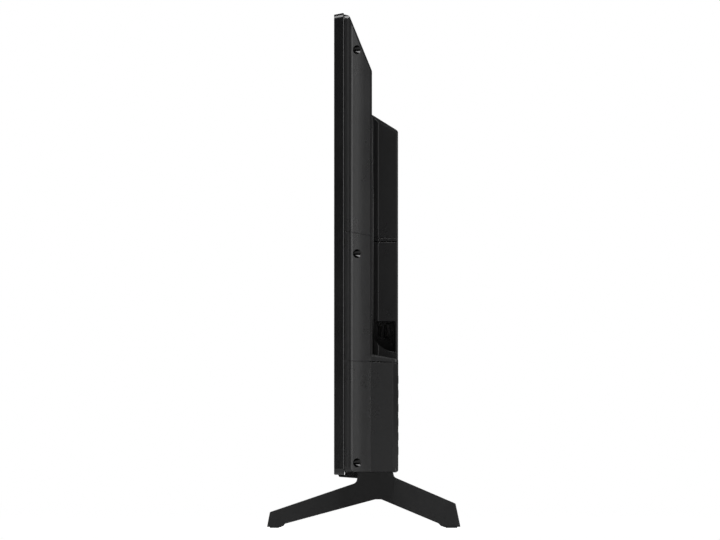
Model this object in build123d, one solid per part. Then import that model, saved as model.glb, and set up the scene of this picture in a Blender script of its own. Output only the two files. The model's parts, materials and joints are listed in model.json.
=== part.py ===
from build123d import *
from math import cos, radians, sin
import os

# Flat television on two feet. Sizes are in millimetres. The pieces are drawn with the
# bezel's front plane at Y = 0, so that Y is the depth behind it, and with the floor at
# Z = 0. save() then moves them so that the origin lies under the middle of the set.

# Whole set
WIDTH = 732.0
TOP_Z = 492.1
FRONT_REACH = 64.4
REAR_REACH = 121.2
SCREEN_Y = (FRONT_REACH - REAR_REACH) / 2
HALF_WIDTH = WIDTH / 2

# Front bezel
BEZEL_BOTTOM_Z = 51.6
BEZEL_DEPTH = 9.4
BEZEL_FACE = 2.2
BEZEL_SIDE = 3.0
BEZEL_TOP_DRAFT = 1.7
BEZEL_SIDE_DRAFT = 0.8
BEZEL_CORNER = 5.0
BEZEL_REAR_BEVEL = 0.6
BEZEL_BOSS_RADIUS = 2.8

# Picture area of a 32-inch panel
VIEW_WIDTH = 697.7
VIEW_HEIGHT = 392.3
TOP_BORDER = 16.6
VIEW_TOP_Z = TOP_Z - TOP_BORDER
VIEW_BOTTOM_Z = VIEW_TOP_Z - VIEW_HEIGHT
VIEW_HALF = VIEW_WIDTH / 2
WINDOW_BEVEL = 1.4

# Rear cover: a thin upper part, a full-width lower bulge and a central bump
WALL = 2.3
COVER_FRONT = 9.9
COVER_HALF = 364.6
COVER_BOTTOM_Z = 53.9
COVER_TOP_Z = 490.7
TOP_CREASE_DEPTH = 14.7
TOP_CREASE_Z = 489.5
TOP_CREASE_ROUNDING = 3.5
SIDE_CREASE_DEPTH = 15.2
SIDE_CREASE_ROUNDING = 8.5
THIN_DEPTH = 36.3
THIN_TOP_Z = 437.0
THIN_HALF = 340.6
THIN_ROUNDING = 8.7
SLOPE_CROWN = 0.4
CROWN_ROUNDING = 200.0
CORNER_BEVEL = 1.6
LIP_FRONT = 7.6
LIP_INSET = 2.0
LIP_THICK = 1.3
BACK_DEPTH = 61.4
BULGE_FRONT = 20.0
BULGE_HALF_FRONT = 344.6
BULGE_HALF_BACK = 337.4
BULGE_ROUNDING = 7.0
LEDGE_BEVEL = 1.6
LEDGE_FRONT_Z = 165.9
LEDGE_BACK_Z = 161.6
BUMP_HALF_BASE = 222.0
BUMP_HALF_BACK = 220.5
BUMP_BEVEL = 2.5
BUMP_STEP = 1.0
BUMP_STEP_LENGTH = 4.0
BUMP_TOP_FRONT_Z = 397.2
BUMP_TOP_BACK_Z = 381.6
BUMP_TOP_BEVEL = 2.6

# Seams round the rear cover, as (z at the front, fall towards the back in degrees),
# and the two grooves on each side of the bump, as (z, width)
GROOVE = 0.6
SEAM_WIDTH = 0.8
UPPER_SEAM = (283.6, 9.0)
LEDGE_SEAM = (159.9, 1.8)
BUMP_GROOVES = ((278.5, 0.6), (275.0, 1.0))

# Screw wells at the sides, three on each, and at the back
SIDE_SCREW_X = 357.0
SIDE_SCREW_Z = (62.4, 262.2, 457.0)
SIDE_WELL_RADIUS = 4.35
SIDE_SEAT_DEPTH = 12.4
REAR_SCREWS = ((-250.0, 140.0), (250.0, 140.0), (-250.0, 425.0), (250.0, 425.0), (0.0, 425.0))
REAR_WELL_RADIUS = 4.0
REAR_SEAT_DEPTH = 32.0
WELL_WALL = 1.6
SEAT_THICK = 1.5
SCREW_HEAD_RADIUS = 3.1
SCREW_HEAD_HEIGHT = 2.0
SCREW_RADIUS = 1.4
SCREW_HOLE_RADIUS = 1.6

# Sides of the many-sided bars that stand for small round ones
WELL_SIDES = 12
HEAD_SIDES = 10
SMALL_SIDES = 6
CABLE_SIDES = 5

# Vents, as (count, pitch, half width)
BACK_VENTS = (21, 16.0, 2.0)
BACK_VENT_Z = (351.0, 371.0)
SPEAKER_VENTS = (9, 10.0, 1.8)
CENTRE_VENTS = (7, 14.0, 1.8)

# Terminal bays in the rear cover
BAY_WALL = 2.0
SIDE_BAY_X = 178.0
SIDE_BAY_FRONT = 38.0
SIDE_BAY_BACK = 59.0
SIDE_BAY_TOP_Z = 198.8
SIDE_BAY_LIP_Z = 180.6
SIDE_BAY_FLOOR_Z = 168.8
REAR_BAY_X = (40.0, 125.0)
REAR_BAY_Z = (168.0, 212.0)
MAINS_BAY_X = (-170.0, -115.0)
MAINS_BAY_Z = (168.0, 208.0)
BAY_FRONT = 38.5

# Middles of the sockets that point down, as (x, depth)
AERIAL_PLACE = (115.0, 46.0)
AUDIO_PLACE = (100.0, 43.5)
INLET_PLACE = (-142.5, 48.5)
INLET_PLATE_GAP = 0.2

# Remote sensor under the bezel
LIGHT_GUIDE_HALF = 8.0
LIGHT_GUIDE_Y = (12.0, 19.0)

# Wall mount pattern and its bosses
WALL_MOUNT_PITCH = 100.0
WALL_MOUNT_Z = 272.0
INSERT_RADIUS = 3.4
INSERT_BORE = 2.0
INSERT_LENGTH = 12.0
BOSS_RADIUS = 7.0

# Backlight pan
PAN_THICK = 0.8
PAN_FLANGE_DEPTH = 9.1
PAN_BACK_DEPTH = 28.0
PAN_FRONT_HALF = 346.0
PAN_FRONT_Z = (82.0, 476.0)
PAN_BACK_HALF = 318.0
PAN_BACK_Z = (93.0, 446.0)
PANEL_FRAME_HALF = 353.6
PANEL_FRAME_Z = (74.0, 482.0)
LED_ROWS_Z = (160.0, 270.0, 380.0)
LED_PITCH = 118.0
LED_PER_ROW = 5
LED_BAR_FRONT = 25.8
LENS_RADIUS = 7.0
LENS_RIM = 2.5
LENS_CROWN = 2.0
LENS_SLOPE = 50.0

# Boards
MAIN_BOARD_FRONT = 38.0
BOARD_THICK = 1.6
MAIN_BOARD_BACK = MAIN_BOARD_FRONT + BOARD_THICK
POWER_BOARD_FRONT = 36.0
TIMING_BOARD_FRONT = 32.0

# Push buttons on the back of the lower bulge
KEY_X = 318.0
KEY_FIRST_Z = 74.0
KEY_PITCH = 13.6
KEY_NAMES = ("power", "input", "channel_up", "channel_down", "volume_up", "volume_down")
KEY_SIZE = 8.6
KEY_GAP = 0.3
KEY_TRAVEL = 0.8
KEY_RECESS = 1.0
KEY_BOARD_FRONT = 52.0
KEY_STEM_RADIUS = 1.5
KEY_STEM_TIP = 55.6
KEY_SCREW_Z = (64.5, 151.0)

# Speakers, one under each half of the lower bulge
SPEAKER_X = 150.0
SPEAKER_Y = 45.0
SPEAKER_LENGTH = 110.0
SPEAKER_BOX_Z = (64.0, 112.0)
SPEAKER_BOX_HALF_DEPTH = 12.0
EAR_REACH = 6.0
EAR_Z = (66.0, 69.0)
GROMMET_TOP_Z = 70.2
CONE_THICK = 0.8
CONE_Z = 62.2
CONE_TRAVEL = 1.0
COIL_RADIUS = 5.5
COIL_TOP_Z = 74.0

# Feet
FOOT_X = 265.0
FOOT_HALF_NECK = 12.0
FOOT_HALF_TIP = 8.5
FOOT_UNDERSIDE_Z = 1.0
PAD_THICK = 2.6
PAD_HALF_WIDTH = 5.5
TENON_HALF = 7.0
TENON_Y = (27.0, 52.0)
TENON_TOP_Z = 66.0
FOOT_SCREW_Y = (32.0, 46.5)
FOOT_SCREW_SEAT_Z = 36.0
FOOT_SCREW_RADIUS = 2.0
FOOT_SCREW_HEAD_RADIUS = 3.6


def block(x_range, y_range, z_range):
    """Box between two corners, given as a range along each axis."""
    ranges = (x_range, y_range, z_range)
    sizes = [high - low for low, high in ranges]
    middle = [(high + low) / 2 for low, high in ranges]
    return Pos(*middle) * Box(*sizes)


def around(middle, half):
    """Range of half on each side of a middle."""
    return (middle - half, middle + half)


def rod_y(x, z, radius, y_range, sides=SMALL_SIDES):
    """Bar along Y, many-sided, or truly round where sides is 0."""
    low, high = y_range
    face = RegularPolygon(radius, sides) if sides else Circle(radius)
    return Pos(x, low, z) * Rot(-90, 0, 0) * extrude(face, amount=high - low)


def rod_z(x, y, radius, z_range, sides=SMALL_SIDES):
    """Bar along Z, many-sided, or truly round where sides is 0."""
    low, high = z_range
    face = RegularPolygon(radius, sides) if sides else Circle(radius)
    return Pos(x, y, low) * extrude(face, amount=high - low)


def together(shapes):
    """One group of solids, joined where they touch."""
    return Part() + list(shapes)


def mirrored(shape):
    """The same shape on the other side of the set."""
    return mirror(shape, about=Plane.YZ)


def both_sides(shape):
    """A shape and its mirror image across the set."""
    return together([shape, mirrored(shape)])


def outline(half_width, z_range, depth, corner=0.0):
    """Upright rectangle at a depth, as seen from the front."""
    low, high = z_range
    plane = Plane.XZ.offset(-depth)
    if corner:
        face = RectangleRounded(2 * half_width, high - low, corner)
    else:
        face = Rectangle(2 * half_width, high - low)
    return plane * Pos(0, (low + high) / 2) * face


def slab(half_width, z_range, y_range, corner=0.0):
    """Upright plate between two depths."""
    front, back = y_range
    return extrude(outline(half_width, z_range, front, corner), amount=-(back - front))


def profile(corners):
    """Flat face from its corners, each (u, v) or (u, v, rounding)."""
    points = [corner[:2] for corner in corners]
    radii = [corner[2] if len(corner) > 2 else 0.0 for corner in corners]
    return make_face(FilletPolyline(*points, radius=radii, close=True))


def racetrack(x, y, length, width, z_range, end_steps=3):
    """Upright solid with a many-sided rounding at each end, long along X."""
    low, high = z_range
    radius = width / 2
    points = []
    for end in (1, -1):
        centre = end * (length / 2 - radius)
        for step in range(end_steps + 1):
            angle = radians(180.0 * step / end_steps - 90.0)
            points.append((x + centre + end * radius * cos(angle), y + end * radius * sin(angle)))
    return Pos(0, 0, low) * extrude(make_face(Polyline(*points, close=True)), amount=high - low)


def strip(points, thickness, x_range):
    """Thin ribbon whose path is seen from the side."""
    path = FilletPolyline(*points, radius=2.0)
    face = make_face(offset(path, amount=thickness, side=Side.LEFT))
    low, high = x_range
    return extrude(Plane.YZ.offset(low) * face, amount=high - low)


def cable(points, radius):
    """Cable held inside the cover: straight runs joined by tangent arcs."""
    path = FilletPolyline(*points, radius=8 * radius)
    start = path @ 0
    section = Plane(origin=start, z_dir=path % 0) * RegularPolygon(radius, CABLE_SIDES)
    return sweep(section, path=path)


def opposite(corners):
    """The corners of an outline's right half, mirrored and in reverse order for its left half."""
    return [(-corner[0], *corner[1:]) for corner in reversed(corners)]


def inset_profile(corners, inset):
    """Outline drawn in by inset, with the roundings that are large enough kept."""
    if not inset:
        return profile(corners)
    kept = [corner if len(corner) > 2 and corner[2] > inset + 0.5 else corner[:2] for corner in corners]
    return offset(profile(kept), -inset, kind=Kind.INTERSECTION)


def crossed(side_corners, plan_corners, inset):
    """Form with one outline from the side and another from above, drawn in by inset."""
    across = extrude(Plane.YZ * inset_profile(side_corners, inset), amount=WIDTH / 2, both=True)
    upward = extrude(inset_profile(plan_corners, inset), amount=TOP_Z)
    return across & upward


def bevelled(form, edge_point, first_normal, second_normal, cut, inset):
    """Cut an edge off by cut along both its faces, on each side of the set. Inner faces stay sharp."""
    if inset >= WALL:
        return form
    first = Vector(*first_normal).normalized()
    second = Vector(*second_normal).normalized()
    outward = (first + second).normalized()
    depth = cut * sin(radians(first.get_angle(second)) / 2) + inset
    for side in (1, -1):
        normal = Vector(side * outward.X, outward.Y, outward.Z)
        place = Vector(side * edge_point[0], edge_point[1], edge_point[2]) - normal * depth
        form = split(form, bisect_by=Plane(origin=place, z_dir=normal), keep=Keep.BOTTOM)
    return form


def thin_form(inset, front):
    """Upper part of the cover: flat back, sloped top and sloped, slightly crowned sides."""
    side_run = THIN_DEPTH - SIDE_CREASE_DEPTH
    side_fall = COVER_HALF - THIN_HALF
    top_run = THIN_DEPTH - TOP_CREASE_DEPTH
    top_fall = TOP_CREASE_Z - THIN_TOP_Z
    right = [(COVER_HALF, front), (COVER_HALF, SIDE_CREASE_DEPTH), (THIN_HALF, THIN_DEPTH)]
    if inset < WALL:
        crown = Vector(side_run, side_fall, 0).normalized() * SLOPE_CROWN
        middle = Vector((COVER_HALF + THIN_HALF) / 2, (SIDE_CREASE_DEPTH + THIN_DEPTH) / 2, 0) + crown
        right = [
            (COVER_HALF, front),
            (COVER_HALF, SIDE_CREASE_DEPTH, SIDE_CREASE_ROUNDING),
            (middle.X, middle.Y, CROWN_ROUNDING),
            (THIN_HALF, THIN_DEPTH, THIN_ROUNDING),
        ]
    side = [
        (front, COVER_BOTTOM_Z),
        (front, COVER_TOP_Z),
        (TOP_CREASE_DEPTH, TOP_CREASE_Z, TOP_CREASE_ROUNDING),
        (THIN_DEPTH, THIN_TOP_Z, 3.5),
        (THIN_DEPTH, COVER_BOTTOM_Z),
    ]
    form = crossed(side, right + opposite(right), inset)
    height = (COVER_BOTTOM_Z + inset, COVER_TOP_Z - inset)
    form = form & slab(COVER_HALF - inset, height, (front, THIN_DEPTH + 1.0), 5.0)
    edge = (THIN_HALF, THIN_DEPTH, THIN_TOP_Z)
    return bevelled(form, edge, (side_run, side_fall, 0), (0, top_fall, top_run), CORNER_BEVEL, inset)


def bulge_form(inset):
    """Lower bulge across the whole width, with a sloped ledge on top."""
    side = [
        (BULGE_FRONT, COVER_BOTTOM_Z),
        (BACK_DEPTH, COVER_BOTTOM_Z, 1.5),
        (BACK_DEPTH, LEDGE_BACK_Z, 2.0),
        (THIN_DEPTH, LEDGE_FRONT_Z),
        (BULGE_FRONT, LEDGE_FRONT_Z + 3.0),
    ]
    right = [(BULGE_HALF_FRONT, BULGE_FRONT), (BULGE_HALF_BACK, BACK_DEPTH, BULGE_ROUNDING)]
    form = crossed(side, right + opposite(right), inset)
    run = BACK_DEPTH - THIN_DEPTH
    ledge_normal = (0, LEDGE_FRONT_Z - LEDGE_BACK_Z, run)
    wall_normal = (BACK_DEPTH - BULGE_FRONT, BULGE_HALF_FRONT - BULGE_HALF_BACK, 0)
    edge = (BULGE_HALF_BACK, BACK_DEPTH, LEDGE_BACK_Z)
    return bevelled(form, edge, wall_normal, ledge_normal, LEDGE_BEVEL, inset)


def bump_form(inset):
    """Central bump that holds the boards, with a stepped foot on each side and a sloped top."""
    step_depth = THIN_DEPTH + 1.7
    step_end = step_depth + BUMP_STEP_LENGTH
    side = [
        (30.0, 150.0),
        (BACK_DEPTH, 150.0),
        (BACK_DEPTH, BUMP_TOP_BACK_Z, 3.5),
        (THIN_DEPTH, BUMP_TOP_FRONT_Z),
        (30.0, BUMP_TOP_FRONT_Z + 3.7),
    ]
    right = [
        (BUMP_HALF_BASE + BUMP_BEVEL, 30.0),
        (BUMP_HALF_BASE + BUMP_BEVEL, THIN_DEPTH + 0.2),
        (BUMP_HALF_BASE - BUMP_STEP, step_depth),
        (BUMP_HALF_BASE, step_end),
        (BUMP_HALF_BASE - 0.5, step_end + 0.8),
        (BUMP_HALF_BACK, BACK_DEPTH, 2.0),
    ]
    form = crossed(side, right + opposite(right), inset)
    run = BACK_DEPTH - THIN_DEPTH
    top_normal = (0, BUMP_TOP_FRONT_Z - BUMP_TOP_BACK_Z, run)
    wall_normal = (run, BUMP_HALF_BASE - BUMP_HALF_BACK, 0)
    edge = (BUMP_HALF_BACK, BACK_DEPTH, BUMP_TOP_BACK_Z)
    return bevelled(form, edge, wall_normal, top_normal, BUMP_TOP_BEVEL, inset)


def cover_form(inset, front):
    """Whole rear cover as a solid block, drawn in by inset on every face."""
    return together([thin_form(inset, front), bulge_form(inset), bump_form(inset)])


def side_bay_profile(grown=0.0):
    """Mouth of the side bay seen from the side, with its scooped floor."""
    front = SIDE_BAY_FRONT - grown
    back = SIDE_BAY_BACK + grown
    top = SIDE_BAY_TOP_Z + grown
    lip = SIDE_BAY_LIP_Z - grown
    floor = SIDE_BAY_FLOOR_Z - grown
    scoop = ThreePointArc((back, floor), ((front + back) / 2 - 2.0, floor + 4.2), (front, lip))
    rest = Polyline((front, lip), (front, top), (back, top), (back, floor))
    return make_face([scoop, rest])


def cover_bays():
    """Walls and hollows of the three terminal bays."""
    side_liner = extrude(Plane.YZ.offset(SIDE_BAY_X - BAY_WALL) * side_bay_profile(BAY_WALL), amount=60.0)
    side_void = extrude(Plane.YZ.offset(SIDE_BAY_X) * side_bay_profile(), amount=60.0)
    liners = [side_liner]
    voids = [side_void]
    # The mains bay has no roof of its own: the inlet's plate lies on its walls
    for x_range, z_range, roof in ((REAR_BAY_X, REAR_BAY_Z, BAY_WALL), (MAINS_BAY_X, MAINS_BAY_Z, 0.0)):
        outer_x = (x_range[0] - BAY_WALL, x_range[1] + BAY_WALL)
        outer_z = (z_range[0] - BAY_WALL, z_range[1] + roof)
        liners.append(block(outer_x, (BAY_FRONT - BAY_WALL, BACK_DEPTH), outer_z))
        voids.append(block(x_range, (BAY_FRONT, BACK_DEPTH + 5.0), z_range))
    return together(liners), together(voids)


def socket_windows():
    """Cut-outs in the bays' walls for the sockets behind them."""
    windows = [
        block((170.0, 182.0), (40.9, 45.7), (181.6, 197.2)),
        block((170.0, 182.0), (47.7, 54.5), (181.6, 197.2)),
        block((72.2, 87.8), (39.7, 45.6), (205.0, 216.0)),
        rod_z(*AUDIO_PLACE, 3.5, (205.0, 216.0), HEAD_SIDES),
        rod_z(*AERIAL_PLACE, 5.7, (205.0, 216.0), WELL_SIDES),
    ]
    return together(windows)


def screw_wells():
    """Tubes and hollows of the screw wells in the rear cover."""
    tubes = []
    voids = []
    for side in (-1, 1):
        for z in SIDE_SCREW_Z:
            x = side * SIDE_SCREW_X
            tube_front = SIDE_SEAT_DEPTH - 2.0
            tubes.append(rod_y(x, z, SIDE_WELL_RADIUS + WELL_WALL, (tube_front, BACK_DEPTH)))
            voids.append(rod_y(x, z, SIDE_WELL_RADIUS, (SIDE_SEAT_DEPTH, BACK_DEPTH + 5.0), WELL_SIDES))
            voids.append(rod_y(x, z, SCREW_HOLE_RADIUS, (tube_front - 1.0, SIDE_SEAT_DEPTH + 1.0)))
    for x, z in REAR_SCREWS:
        tube_front = REAR_SEAT_DEPTH - SEAT_THICK
        tubes.append(rod_y(x, z, REAR_WELL_RADIUS + WELL_WALL, (tube_front, BACK_DEPTH)))
        voids.append(rod_y(x, z, REAR_WELL_RADIUS, (REAR_SEAT_DEPTH, BACK_DEPTH + 5.0), HEAD_SIDES))
        voids.append(rod_y(x, z, SCREW_HOLE_RADIUS, (tube_front - 1.0, REAR_SEAT_DEPTH + 1.0)))
    return together(tubes), together(voids)


def wall_mount_places():
    """Centres of the four wall mount inserts, as (x, z)."""
    half = WALL_MOUNT_PITCH / 2
    return [(x, WALL_MOUNT_Z + z) for x in (-half, half) for z in (-half, half)]


def vent_row(middle, vents, y_range, z_range):
    """Row of slots along X about a middle."""
    count, pitch, half = vents
    first = middle - pitch * (count - 1) / 2
    return [block(around(first + pitch * index, half), y_range, z_range) for index in range(count)]


def cover_vents():
    """Slots that let air and sound through the rear cover."""
    through_floor = (COVER_BOTTOM_Z - 4.0, COVER_BOTTOM_Z + 4.0)
    slots = vent_row(0.0, BACK_VENTS, (BACK_DEPTH - 10.0, BACK_DEPTH + 10.0), BACK_VENT_Z)
    for side in (-1, 1):
        slots += vent_row(side * SPEAKER_X, SPEAKER_VENTS, around(SPEAKER_Y, 10.0), through_floor)
    slots += vent_row(0.0, CENTRE_VENTS, around(SPEAKER_Y, 9.0), through_floor)
    return together(slots)


def cover_lip():
    """Lip round the front of the cover that reaches into the bezel and closes the seam."""
    height = (COVER_BOTTOM_Z + LIP_INSET, COVER_TOP_Z - LIP_INSET)
    depths = (LIP_FRONT, COVER_FRONT + 1.0)
    ring = slab(COVER_HALF - LIP_INSET, height, depths, 4.0)
    inner = LIP_INSET + LIP_THICK
    inner_height = (COVER_BOTTOM_Z + inner, COVER_TOP_Z - inner)
    return ring - slab(COVER_HALF - inner, inner_height, (LIP_FRONT - 1.0, COVER_FRONT + 2.0), 3.0)


def cover_grooves():
    """Seams round the cover and the grooves on the sides of the bump."""
    skin = cover_form(0, COVER_FRONT) - cover_form(GROOVE, COVER_FRONT - 2 * WALL)
    cuts = []
    for (z, fall), reach in ((UPPER_SEAM, THIN_DEPTH + 1.0), (LEDGE_SEAM, BACK_DEPTH + 1.0)):
        length = reach - COVER_FRONT
        blade = Pos(0, length / 2, 0) * Box(2 * WIDTH, length, SEAM_WIDTH)
        cuts.append(Pos(0, COVER_FRONT, z) * Rot(-fall, 0, 0) * blade)
    for z, width in BUMP_GROOVES:
        for side in (-1, 1):
            depths = (THIN_DEPTH + 2.0, BACK_DEPTH - 1.5)
            cuts.append(block(around(side * BUMP_HALF_BASE, 8.0), depths, around(z, width / 2)))
    return skin & together(cuts)


def cover_ribs():
    """Stiffening ribs on the inside of the back walls."""
    ribs = []
    thin_inner = THIN_DEPTH - WALL
    back_inner = BACK_DEPTH - WALL
    for x in (-270.0, -180.0, -90.0, 30.0, 90.0, 180.0, 270.0):
        ribs.append(block(around(x, 0.8), (thin_inner - 3.0, thin_inner), (402.0, 432.0)))
    for x in (-295.0, -268.0, 268.0, 295.0):
        ribs.append(block(around(x, 0.8), (thin_inner - 3.0, thin_inner), (170.0, 400.0)))
    for x in (-100.0, -25.0, 25.0, 100.0):
        ribs.append(block(around(x, 0.8), (back_inner - 3.0, back_inner), (234.0, 346.0)))
    ribs.append(block((-190.0, 190.0), (back_inner - 3.0, back_inner), (346.0, 347.6)))
    for x in (-300.0, -230.0, -60.0, 0.0, 60.0, 230.0):
        ribs.append(block(around(x, 0.8), (back_inner - 3.0, back_inner), (60.0, 156.0)))
    return together(ribs)


def cover_bosses():
    """Bosses that carry the wall mount, the key board, the sensor board and the speakers."""
    back_inner = BACK_DEPTH - WALL
    floor = COVER_BOTTOM_Z + WALL
    bosses = []
    for x, z in wall_mount_places():
        bosses.append(rod_y(x, z, BOSS_RADIUS, (34.0, back_inner + 1.0), HEAD_SIDES))
    for z in KEY_SCREW_Z:
        bosses.append(rod_y(KEY_X, z, 2.8, (KEY_BOARD_FRONT + BOARD_THICK, back_inner + 1.0)))
    for x in (-11.0, 11.0):
        bosses.append(rod_z(x, 16.0, 2.0, (floor - 1.0, 58.2)))
    for x in speaker_places():
        bosses.append(rod_z(x, SPEAKER_Y, 3.2, (floor - 1.0, SPEAKER_BOX_Z[0])))
    return together(bosses)


def rear_cover():
    """Moulded rear cover: thin sloped top, central bump, lower bulge, bays, wells and ribs."""
    outer = cover_form(0, COVER_FRONT)
    inner = cover_form(WALL, COVER_FRONT - 2 * WALL)
    liners, bay_voids = cover_bays()
    tubes, well_voids = screw_wells()
    shell = outer - inner
    shell = shell + (together([liners, tubes]) & outer)
    shell = shell + cover_lip() + cover_ribs() + cover_bosses()
    shell = shell - bay_voids - well_voids - socket_windows() - cover_vents()

    shell = shell - cover_grooves()

    key_low = KEY_FIRST_Z - 8.0
    key_high = KEY_FIRST_Z + 5 * KEY_PITCH + 8.0
    shell = shell - block(around(KEY_X, 10.0), (BACK_DEPTH - KEY_RECESS, 70.0), (key_low, key_high))
    hole_half = KEY_SIZE / 2 + KEY_GAP
    for index in range(len(KEY_NAMES)):
        z = KEY_FIRST_Z + index * KEY_PITCH
        shell = shell - block(around(KEY_X, hole_half), (50.0, 70.0), around(z, hole_half))

    for x, z in wall_mount_places():
        shell = shell - rod_y(x, z, INSERT_RADIUS + 0.1, (BACK_DEPTH - INSERT_LENGTH, 70.0))
    tenon_slot = block(
        around(FOOT_X, TENON_HALF + 0.4),
        (TENON_Y[0] - 0.4, TENON_Y[1] + 0.4),
        (50.0, 60.0),
    )
    guide_depths = (LIGHT_GUIDE_Y[0] - 0.4, LIGHT_GUIDE_Y[1] + 0.4)
    guide_slot = block(around(0.0, LIGHT_GUIDE_HALF + 0.4), guide_depths, (50.0, 58.0))
    shell = shell - both_sides(tenon_slot) - guide_slot
    for x in speaker_places():
        shell = shell - rod_z(x, SPEAKER_Y, SCREW_HOLE_RADIUS, (57.0, 66.0))
    for z in KEY_SCREW_Z:
        shell = shell - rod_y(KEY_X, z, SCREW_HOLE_RADIUS, (50.0, 58.0))
    return shell


def front_bezel():
    """Front frame round the picture, with a bevelled window and bosses for the side screws."""
    height = (BEZEL_BOTTOM_Z, TOP_Z)
    front_height = (BEZEL_BOTTOM_Z, TOP_Z - BEZEL_TOP_DRAFT)
    front = outline(HALF_WIDTH - BEZEL_SIDE_DRAFT, front_height, 0.0, BEZEL_CORNER)
    bevel_start = BEZEL_DEPTH - BEZEL_REAR_BEVEL
    back = outline(HALF_WIDTH, height, bevel_start, BEZEL_CORNER)
    rim_height = (BEZEL_BOTTOM_Z + BEZEL_REAR_BEVEL, TOP_Z - BEZEL_REAR_BEVEL)
    rim = outline(HALF_WIDTH - BEZEL_REAR_BEVEL, rim_height, BEZEL_DEPTH, BEZEL_CORNER - BEZEL_REAR_BEVEL)
    body = loft([front, back], ruled=True) + loft([back, rim], ruled=True)
    cavity_z = (BEZEL_BOTTOM_Z + BEZEL_SIDE, TOP_Z - BEZEL_SIDE)
    body = body - slab(HALF_WIDTH - BEZEL_SIDE, cavity_z, (BEZEL_FACE, BEZEL_DEPTH + 5.0), 2.0)
    window_half = VIEW_HALF + 0.5
    window_z = (VIEW_BOTTOM_Z - 0.5, VIEW_TOP_Z + 0.5)
    wide_z = (window_z[0] - WINDOW_BEVEL, window_z[1] + WINDOW_BEVEL)
    bevel = tray(window_half + WINDOW_BEVEL, wide_z, window_half, window_z, (-0.01, BEZEL_FACE))
    body = body - bevel - slab(window_half, window_z, (1.0, 4.0))
    for side in (-1, 1):
        for z in SIDE_SCREW_Z:
            x = side * SIDE_SCREW_X
            body = body + rod_y(x, z, BEZEL_BOSS_RADIUS, (BEZEL_FACE - 0.5, SIDE_SEAT_DEPTH - 2.2))
            body = body - rod_y(x, z, SCREW_RADIUS + 0.1, (3.4, 12.0))
    return body


def screen_panel():
    """Liquid crystal panel: the glass sandwich behind the bezel."""
    return slab(352.5, (76.0, 479.0), (2.3, 4.0))


def middle_frame():
    """Plastic frame that holds the panel in front and the sheets behind."""
    body = slab(PANEL_FRAME_HALF, PANEL_FRAME_Z, (4.0, PAN_FLANGE_DEPTH))
    body = body - slab(PAN_FRONT_HALF, (84.5, 473.5), (3.0, 20.0))
    return body - slab(350.0, (79.5, 478.5), (6.2, 20.0))


def optical_films():
    """Stack of thin films in front of the diffuser."""
    return slab(349.5, (80.0, 478.0), (6.3, 7.0))


def diffuser_plate():
    """Milky plate that evens out the light."""
    return slab(349.5, (80.0, 478.0), (7.1, PAN_FLANGE_DEPTH))


def tray(front_half, front_z, back_half, back_z, y_range):
    """Solid that narrows from a front outline to a back outline."""
    front = outline(front_half, front_z, y_range[0])
    back = outline(back_half, back_z, y_range[1])
    return loft([front, back], ruled=True)


def board_posts():
    """Posts on the pan that carry the boards, as (x, z, back depth)."""
    posts = [(x, z, MAIN_BOARD_FRONT) for x in (68.0, 172.0) for z in (221.0, 329.0)]
    posts.append((172.0, 174.0, MAIN_BOARD_FRONT))
    posts += [(x, z, POWER_BOARD_FRONT) for x in (-172.0, -68.0) for z in (238.0, 340.0)]
    posts += [(x, 124.0, TIMING_BOARD_FRONT) for x in (-56.0, 56.0)]
    return posts


def back_chassis():
    """Pressed steel pan behind the backlight, with posts for boards and screws."""
    front_half = PAN_FRONT_HALF + PAN_THICK
    front_z = (PAN_FRONT_Z[0] - PAN_THICK, PAN_FRONT_Z[1] + PAN_THICK)
    back_half = PAN_BACK_HALF + PAN_THICK
    back_z = (PAN_BACK_Z[0] - PAN_THICK, PAN_BACK_Z[1] + PAN_THICK)
    outer = tray(front_half, front_z, back_half, back_z, (PAN_FLANGE_DEPTH, PAN_BACK_DEPTH))
    inner_depths = (PAN_FLANGE_DEPTH, PAN_BACK_DEPTH - PAN_THICK)
    inner = tray(PAN_FRONT_HALF, PAN_FRONT_Z, PAN_BACK_HALF, PAN_BACK_Z, inner_depths)
    flange_depths = (PAN_FLANGE_DEPTH, PAN_FLANGE_DEPTH + 0.8)
    pan = slab(PANEL_FRAME_HALF, PANEL_FRAME_Z, flange_depths) + outer
    pan = pan - inner
    for z in LED_ROWS_Z:
        pan = pan + block((-300.0, 300.0), (PAN_BACK_DEPTH, PAN_BACK_DEPTH + 1.2), around(z + 22.0, 4.0))
    for x, z, back in board_posts():
        pan = pan + rod_y(x, z, 3.2, (PAN_BACK_DEPTH - 0.5, back))
        pan = pan - rod_y(x, z, SCREW_HOLE_RADIUS, (PAN_BACK_DEPTH - 0.2, back + 1.0))
    for x, z in REAR_SCREWS:
        post_back = REAR_SEAT_DEPTH - SEAT_THICK - 0.1
        pan = pan + rod_y(x, z, 4.5, (PAN_BACK_DEPTH - 0.5, post_back))
        pan = pan - rod_y(x, z, SCREW_HOLE_RADIUS, (PAN_BACK_DEPTH - 0.2, post_back + 1.0))
    return pan - block((-36.0, -24.0), (20.0, 40.0), (214.0, 222.0))


def led_places():
    """Centres of the backlight lenses, as (x, z)."""
    first = -LED_PITCH * (LED_PER_ROW - 1) / 2
    return [(first + LED_PITCH * index, z) for z in LED_ROWS_Z for index in range(LED_PER_ROW)]


def reflector_sheet():
    """White folded sheet that lines the pan, with a hole for each lens."""
    outer = tray(345.6, (82.4, 475.6), 317.0, (94.0, 445.0), (PAN_FLANGE_DEPTH, LED_BAR_FRONT - 0.1))
    inner = tray(345.1, (82.9, 475.1), 316.5, (94.5, 444.5), (PAN_FLANGE_DEPTH, LED_BAR_FRONT - 0.6))
    sheet = outer - inner
    holes = [rod_y(x, z, LENS_RADIUS + 0.6, (20.0, 30.0)) for x, z in led_places()]
    return sheet - together(holes)


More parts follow.
